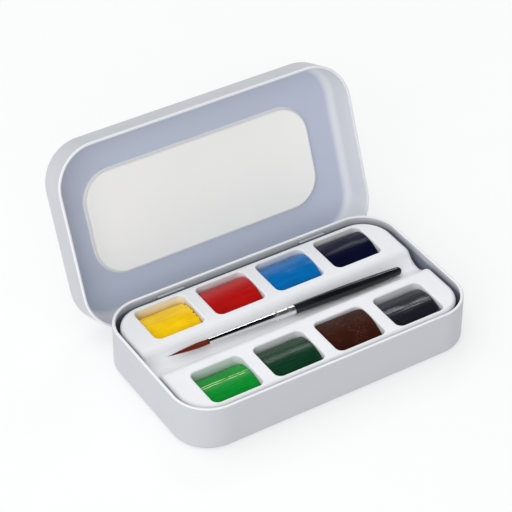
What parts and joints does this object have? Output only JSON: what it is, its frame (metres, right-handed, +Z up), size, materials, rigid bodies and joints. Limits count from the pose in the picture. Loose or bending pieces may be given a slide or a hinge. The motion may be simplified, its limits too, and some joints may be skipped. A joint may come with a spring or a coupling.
{
  "type": "watercolor pan set",
  "caption": "Pocket watercolour tin: slip-over hinged lid stands open behind a base with a moulded tray of paint cakes and a brush lying in its channel.",
  "frame": {"origin": "centre of the base tin's flat underside", "axes": "+X along the tin's long side, +Y towards the hinge and lid, +Z up"},
  "size_m": [0.1064, 0.0916, 0.0619],
  "materials": {
    "tin_enamel": "white baked enamel, satin gloss",
    "tray_plastic": "white moulded plastic, low gloss",
    "hinge_steel": "white enamel over steel strip and wire",
    "nickel": "polished nickel plate",
    "lacquered_wood": "black gloss lacquer",
    "hair": "dark red-brown soft hair, pointed",
    "paint_yellow": "cast watercolour cake, gum gloss",
    "paint_red": "cast watercolour cake, gum gloss",
    "paint_blue": "cast watercolour cake, gum gloss",
    "paint_indigo": "cast watercolour cake, gum gloss",
    "paint_light_green": "cast watercolour cake, gum gloss",
    "paint_dark_green": "cast watercolour cake, gum gloss",
    "paint_brown": "cast watercolour cake, gum gloss",
    "paint_black": "cast watercolour cake, gum gloss"
  },
  "bodies": {
    "base": {"base_tin": "tin_enamel", "hinge_clip_left": "hinge_steel", "hinge_clip_right": "hinge_steel"},
    "lid": {"lid_tin": "tin_enamel", "hinge_pin_left": "hinge_steel", "hinge_pin_right": "hinge_steel"},
    "tray": {"insert_tray": "tray_plastic", "cake_yellow": "paint_yellow", "cake_red": "paint_red", "cake_blue": "paint_blue", "cake_indigo": "paint_indigo", "cake_light_green": "paint_light_green", "cake_dark_green": "paint_dark_green", "cake_brown": "paint_brown", "cake_black": "paint_black"},
    "brush": {"brush_handle": "lacquered_wood", "brush_ferrule": "nickel", "brush_tuft": "hair"}
  },
  "joints": [
    {"name": "lid_hinge", "type": "hinge", "parent": "base", "child": "lid", "pos_m": [0, 0.02985, 0.00535], "axis": [1, 0, 0], "range_deg": [0, 111.5]},
    {"name": "tray_lift", "type": "slide", "parent": "base", "child": "tray", "axis": [0, 0, 1], "range_m": [0, 0.025]},
    {"name": "brush_lift", "type": "slide", "parent": "tray", "child": "brush", "axis": [0, 0, 1], "range_m": [0, 0.025]}
  ]
}
